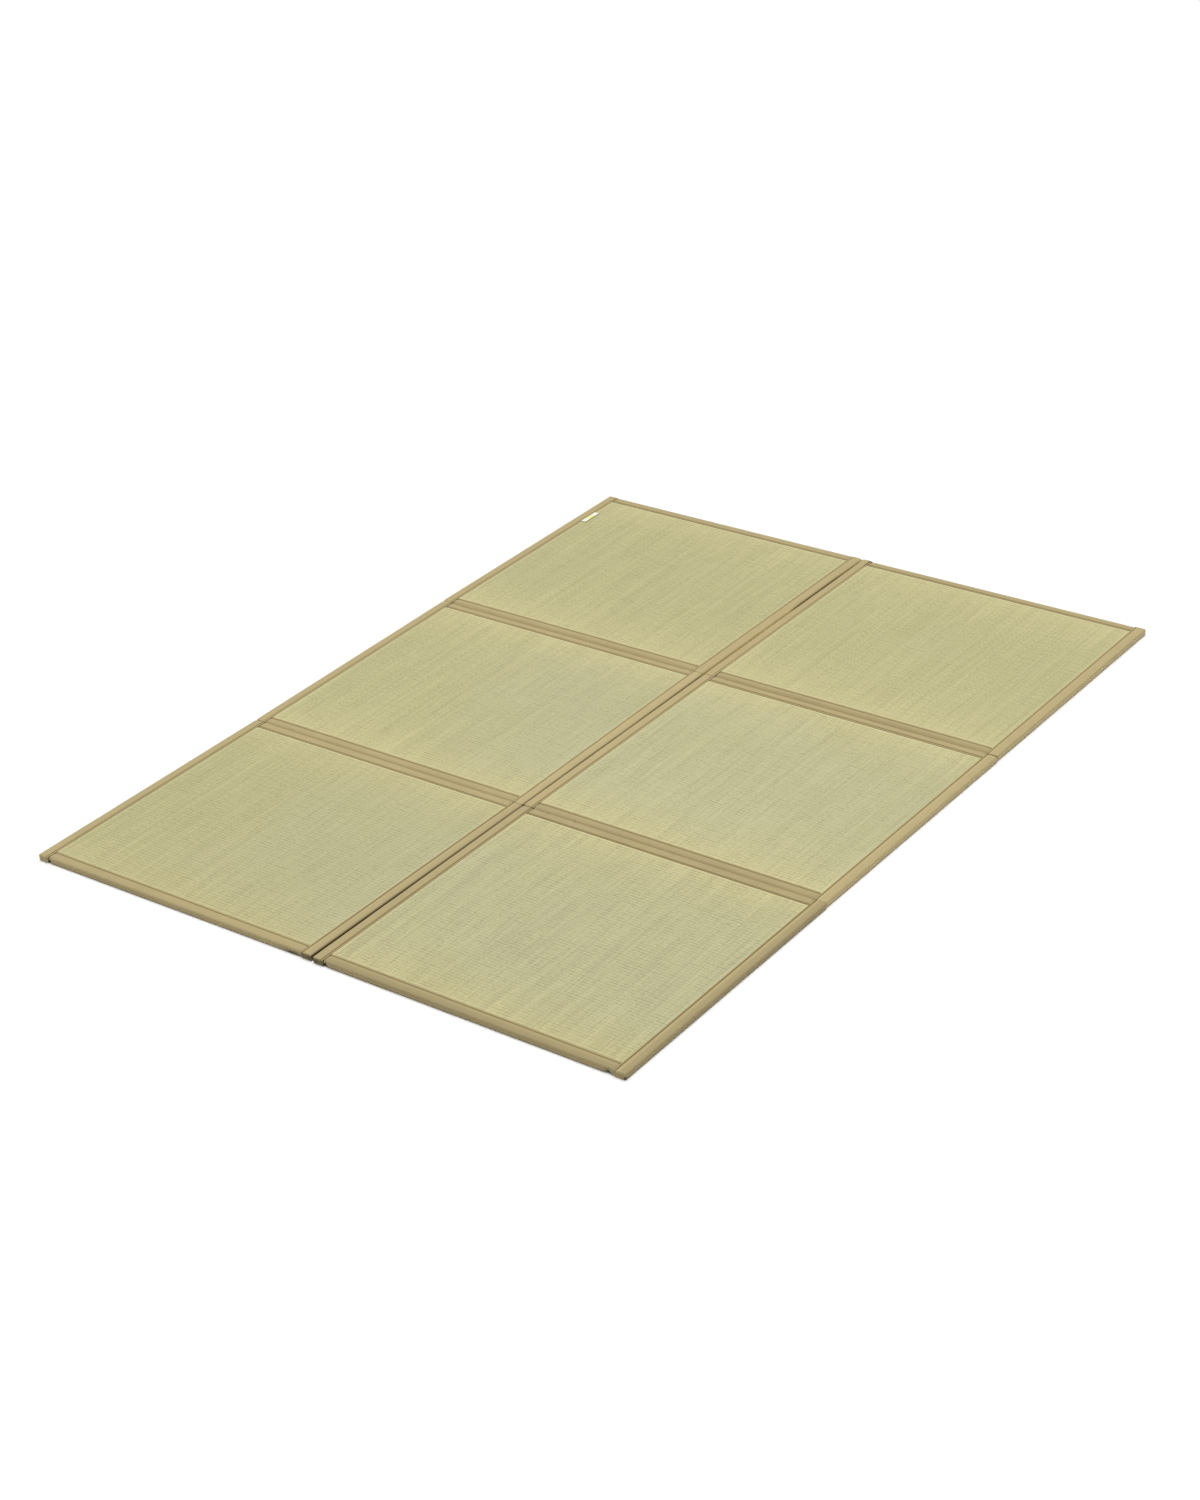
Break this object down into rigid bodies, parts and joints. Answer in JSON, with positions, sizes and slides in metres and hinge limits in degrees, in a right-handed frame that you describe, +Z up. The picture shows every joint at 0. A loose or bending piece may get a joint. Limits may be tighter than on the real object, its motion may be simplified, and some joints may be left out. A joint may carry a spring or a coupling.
{
  "type": "folding rush tatami mat",
  "caption": "Flat rush sleeping mat of stiff square panels in two strips, bound in cloth tape and joined by sewn hinge bands.",
  "frame": {"origin": "on the floor under the middle of the mat's outline", "axes": "+X across the mat, from the strip with the label to the other, +Y along the strips towards the end with the label, +Z up"},
  "size_m": [1.6074, 2.1056, 0.0155],
  "materials": {
    "rush": "woven rush, dry, slightly glossy stems",
    "tape": "plain woven cotton tape, matt",
    "label": "smooth woven label, bare"
  },
  "bodies": {
    "root": {"rush_left_far": "rush", "rush_left_mid": "rush", "rush_left_near": "rush", "rush_right_far": "rush", "rush_right_mid": "rush", "rush_right_near": "rush", "tape_outer_left_far": "tape", "tape_outer_left_mid": "tape", "tape_outer_left_near": "tape", "tape_inner_left_far": "tape", "tape_inner_left_mid": "tape", "tape_inner_left_near": "tape", "tape_outer_right_far": "tape", "tape_outer_right_mid": "tape", "tape_outer_right_near": "tape", "tape_inner_right_far": "tape", "tape_inner_right_mid": "tape", "tape_inner_right_near": "tape", "tape_end_left_far": "tape", "tape_end_left_near": "tape", "tape_end_right_far": "tape", "tape_end_right_near": "tape", "hinge_far_left": "tape", "hinge_far_right": "tape", "hinge_near_left": "tape", "hinge_near_right": "tape", "label": "label"}
  },
  "joints": []
}
